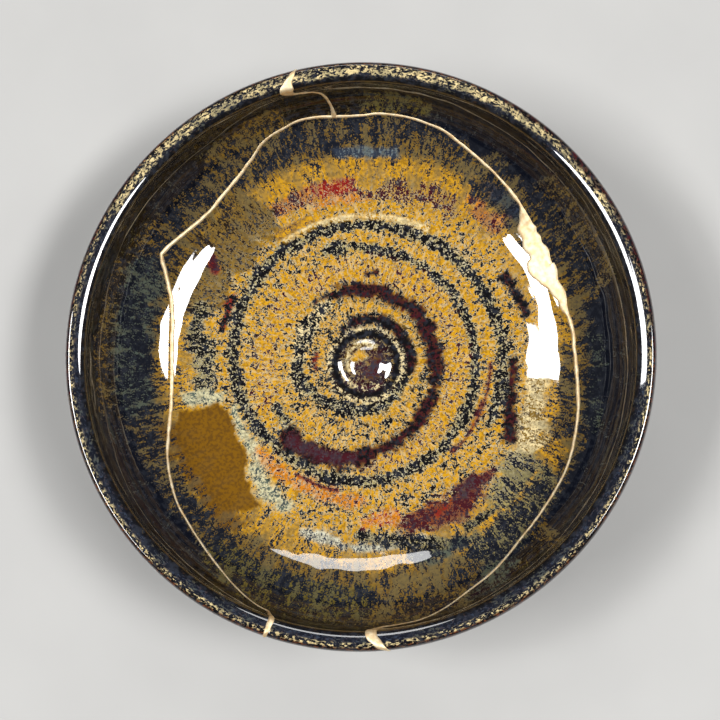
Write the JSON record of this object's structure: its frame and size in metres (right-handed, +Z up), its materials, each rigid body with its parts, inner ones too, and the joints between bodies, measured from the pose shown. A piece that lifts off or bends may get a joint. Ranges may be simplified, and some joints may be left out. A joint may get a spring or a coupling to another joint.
{
  "type": "kintsugi bowl",
  "caption": "Low wheel-thrown stoneware bowl with a rounded lip and turned foot ring, broken into shards and rejoined with raised gold seams.",
  "frame": {"origin": "on the table, under the centre of the foot ring", "axes": "+Z up along the bowl's axis; -Y towards the front, where a short stretch of rim lies between two gold patches"},
  "size_m": [0.2, 0.2, 0.0604],
  "materials": {
    "rim_glaze": "high-gloss running glaze, black-blue over ochre, with a speckled near-black lip",
    "floor_glaze": "high-gloss running glaze, golden ochre speckled with black-blue, maroon and cream in rings",
    "gold": "satin gold powder on lacquer, raised and slightly rippled"
  },
  "bodies": {
    "root": {"left_rim_shard": "rim_glaze", "centre_shard": "floor_glaze", "right_rim_shard": "rim_glaze", "gold_seam": "gold"}
  },
  "joints": []
}
